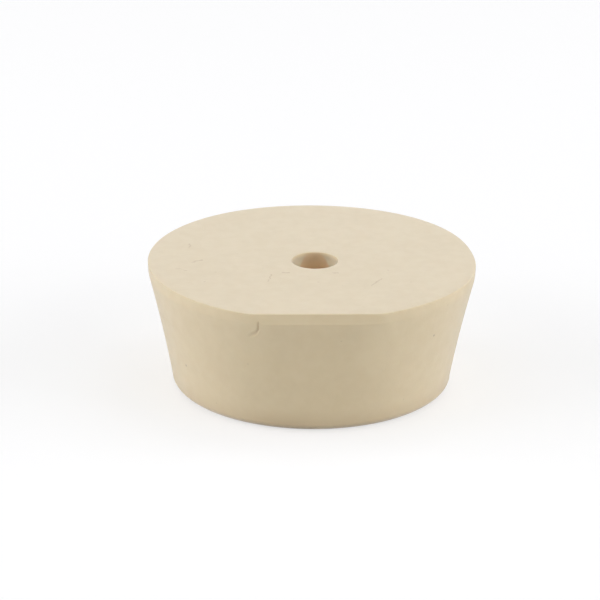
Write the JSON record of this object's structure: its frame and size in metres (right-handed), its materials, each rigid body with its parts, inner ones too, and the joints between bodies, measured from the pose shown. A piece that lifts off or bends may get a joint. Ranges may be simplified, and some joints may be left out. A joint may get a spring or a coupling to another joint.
{
  "type": "rubber stopper",
  "caption": "Tapered round rubber stopper with a through hole for a tube, a straight band round the wide rim and a flat on the rim; plugs the neck of a flask or bottle.",
  "frame": {"origin": "centre of the foot's underside, on the axis of the tapered body", "axes": "+Z along the body's axis from the narrow foot to the wide face; the flat on the rim faces -Y; the hole's axis is parallel to Z, 0.5 mm towards +X and 0.5 mm towards -Y"},
  "size_m": [0.064, 0.0615, 0.025],
  "materials": {
    "gum_rubber": "matt moulded cream rubber, very slightly mottled, with faint scuffs on the wide face"
  },
  "bodies": {
    "root": {"stopper": "gum_rubber"}
  },
  "joints": []
}
